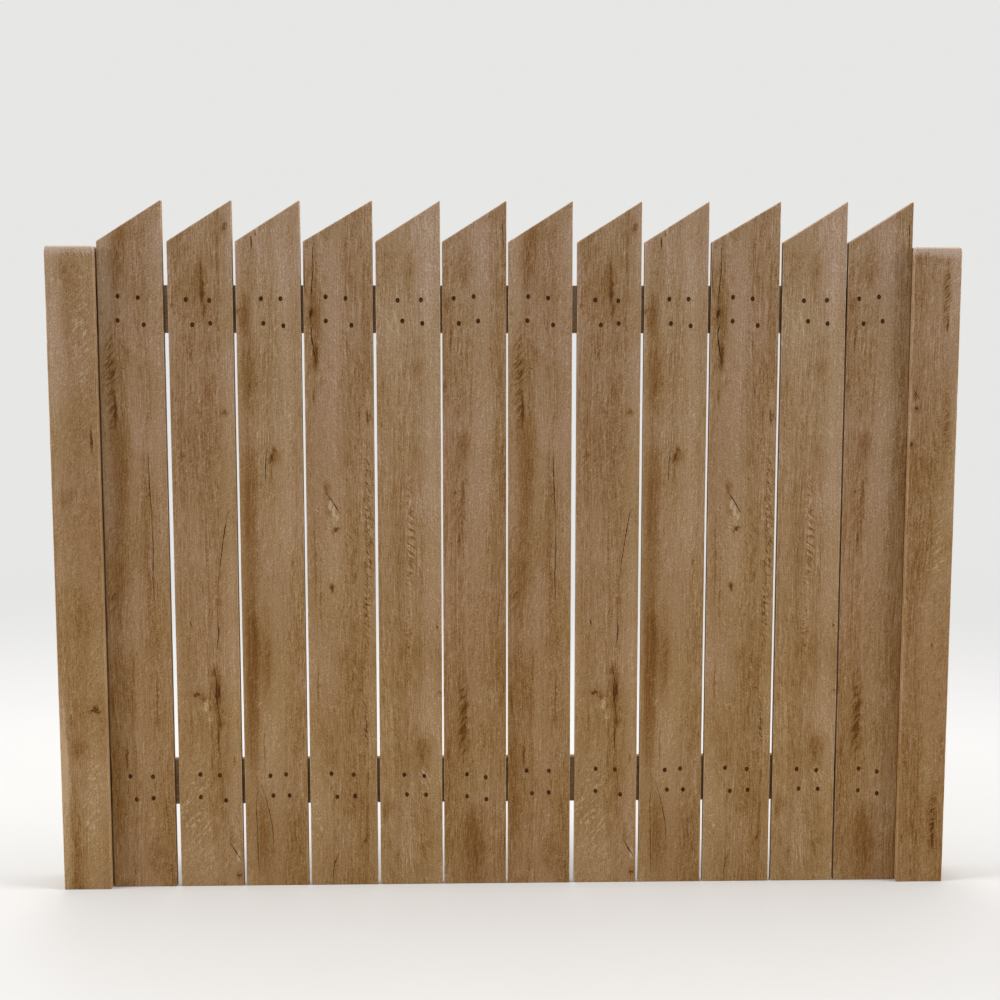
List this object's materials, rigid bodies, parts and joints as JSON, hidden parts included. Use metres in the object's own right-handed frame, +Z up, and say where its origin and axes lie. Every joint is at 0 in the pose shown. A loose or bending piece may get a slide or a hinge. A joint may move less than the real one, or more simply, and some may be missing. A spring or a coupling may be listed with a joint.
{
  "type": "wooden garden fence",
  "caption": "Wooden garden fence panel: upright boards with slanted tops, nailed side by side to rails that are tenoned into square end posts.",
  "frame": {"origin": "middle of the fence's box on the ground, between the posts' feet", "axes": "+X along the fence, to the right seen from the front; the nailed front faces -Y; +Z up"},
  "size_m": [1.8, 0.095, 1.384],
  "materials": {
    "post_wood": "planed oak, matt, worn pale at the top",
    "rail_wood": "planed oak, matt",
    "picket_wood": "planed knotty oak, matt",
    "nail_iron": "dark oxidised iron"
  },
  "bodies": {
    "root": {"left_post": "post_wood", "right_post": "post_wood", "upper_rail": "rail_wood", "lower_rail": "rail_wood", "picket_01": "picket_wood", "picket_01_nails": "nail_iron", "picket_02": "picket_wood", "picket_02_nails": "nail_iron", "picket_03": "picket_wood", "picket_03_nails": "nail_iron", "picket_04": "picket_wood", "picket_04_nails": "nail_iron", "picket_05": "picket_wood", "picket_05_nails": "nail_iron", "picket_06": "picket_wood", "picket_06_nails": "nail_iron", "picket_07": "picket_wood", "picket_07_nails": "nail_iron", "picket_08": "picket_wood", "picket_08_nails": "nail_iron", "picket_09": "picket_wood", "picket_09_nails": "nail_iron", "picket_10": "picket_wood", "picket_10_nails": "nail_iron", "picket_11": "picket_wood", "picket_11_nails": "nail_iron", "picket_12": "picket_wood", "picket_12_nails": "nail_iron"}
  },
  "joints": []
}
